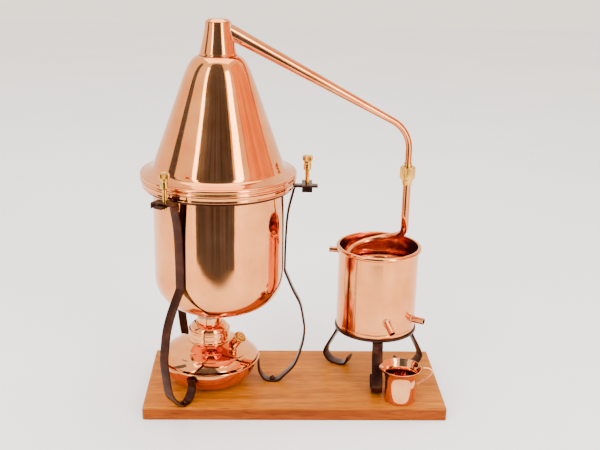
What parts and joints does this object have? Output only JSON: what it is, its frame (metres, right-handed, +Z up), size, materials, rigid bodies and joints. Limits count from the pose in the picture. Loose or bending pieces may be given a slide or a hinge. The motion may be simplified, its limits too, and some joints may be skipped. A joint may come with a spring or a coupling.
{
  "type": "alembic still",
  "caption": "Table-top copper alembic: spirit burner, clamped pot, conical helm and sloping arm, worm condenser on its own stand, and a cup, all on a wooden board.",
  "frame": {"origin": "middle of the board's underside", "axes": "+Z up; +X along the board from the boiler to the condenser; -Y is the front, where the cup stands"},
  "size_m": [0.3625, 0.2013, 0.4576],
  "materials": {
    "copper": "mirror-polished copper",
    "brass": "polished brass",
    "iron": "dark brown burnished, half gloss",
    "wood": "stained and varnished",
    "seal": "matt",
    "cotton": "woven cotton"
  },
  "bodies": {
    "stand": {"base_board": "wood", "pot_stand_ring": "iron", "pot_leg_right": "iron", "pot_leg_back": "iron", "pot_leg_front": "iron", "foot_screw_right": "iron", "foot_screw_back": "iron", "foot_screw_front": "iron", "condenser_stand_ring": "iron", "condenser_leg_left": "iron", "condenser_leg_front": "iron", "condenser_leg_right": "iron", "condenser_bucket": "copper", "overflow_spout": "copper", "water_inlet_spout": "copper", "worm_coil": "copper", "union_lower_collar": "brass"},
    "pot": {"pot": "copper", "rim_gasket": "seal"},
    "helm": {"helm_cone": "copper", "helm_cap": "copper", "helm_lid": "copper", "lyne_arm": "copper", "union_upper_collar": "brass"},
    "union_nut": {"union_nut": "brass"},
    "burner": {"burner_bowl": "copper", "burner_top": "copper", "burner_collar": "copper", "wick_tube": "copper", "wick": "cotton", "filler_neck": "copper"},
    "filler_cap": {"filler_cap": "brass"},
    "cup": {"cup_body": "copper", "cup_handle": "copper"},
    "claw_right": {"clamp_claw_right": "iron"},
    "thumbscrew_right": {"thumbscrew_right": "brass"},
    "claw_back": {"clamp_claw_back": "iron"},
    "thumbscrew_back": {"thumbscrew_back": "brass"},
    "claw_front": {"clamp_claw_front": "iron"},
    "thumbscrew_front": {"thumbscrew_front": "brass"}
  },
  "joints": [
    {"name": "pot_lift", "type": "slide", "parent": "stand", "child": "pot", "axis": [0, 0, 1], "range_m": [0, 0.19]},
    {"name": "helm_lift", "type": "slide", "parent": "pot", "child": "helm", "axis": [0, 0, 1], "range_m": [0, 0.08]},
    {"name": "union_nut_turn", "type": "hinge", "parent": "helm", "child": "union_nut", "pos_m": [0.13149, 0.02005, 0.2778], "axis": [0, 0, 1], "continuous": true},
    {"name": "burner_lift", "type": "slide", "parent": "stand", "child": "burner", "axis": [0, 0, 1], "range_m": [0, 0.008]},
    {"name": "filler_cap_lift", "type": "slide", "parent": "burner", "child": "filler_cap", "axis": [0.4777, -0.4301, 0.766], "range_m": [0, 0.012]},
    {"name": "cup_slide", "type": "slide", "parent": "stand", "child": "cup", "axis": [1, 0, 0], "range_m": [0, 0.03]},
    {"name": "claw_right_turn", "type": "hinge", "parent": "stand", "child": "claw_right", "pos_m": [0.01047, -0.00868, 0.2713], "axis": [0, 0, 1], "range_deg": [-20, 20]},
    {"name": "thumbscrew_right_turn", "type": "hinge", "parent": "stand", "child": "thumbscrew_right", "pos_m": [0.01047, -0.00868, 0.2713], "axis": [0, 0, 1], "continuous": true},
    {"name": "claw_back_turn", "type": "hinge", "parent": "stand", "child": "claw_back", "pos_m": [-0.14632, 0.08092, 0.2713], "axis": [0, 0, 1], "range_deg": [-20, 20]},
    {"name": "thumbscrew_back_turn", "type": "hinge", "parent": "stand", "child": "thumbscrew_back", "pos_m": [-0.14632, 0.08092, 0.2713], "axis": [0, 0, 1], "continuous": true},
    {"name": "claw_front_turn", "type": "hinge", "parent": "stand", "child": "claw_front", "pos_m": [-0.14556, -0.0934, 0.2713], "axis": [0, 0, 1], "range_deg": [-20, 20]},
    {"name": "thumbscrew_front_turn", "type": "hinge", "parent": "stand", "child": "thumbscrew_front", "pos_m": [-0.14556, -0.0934, 0.2713], "axis": [0, 0, 1], "continuous": true}
  ]
}
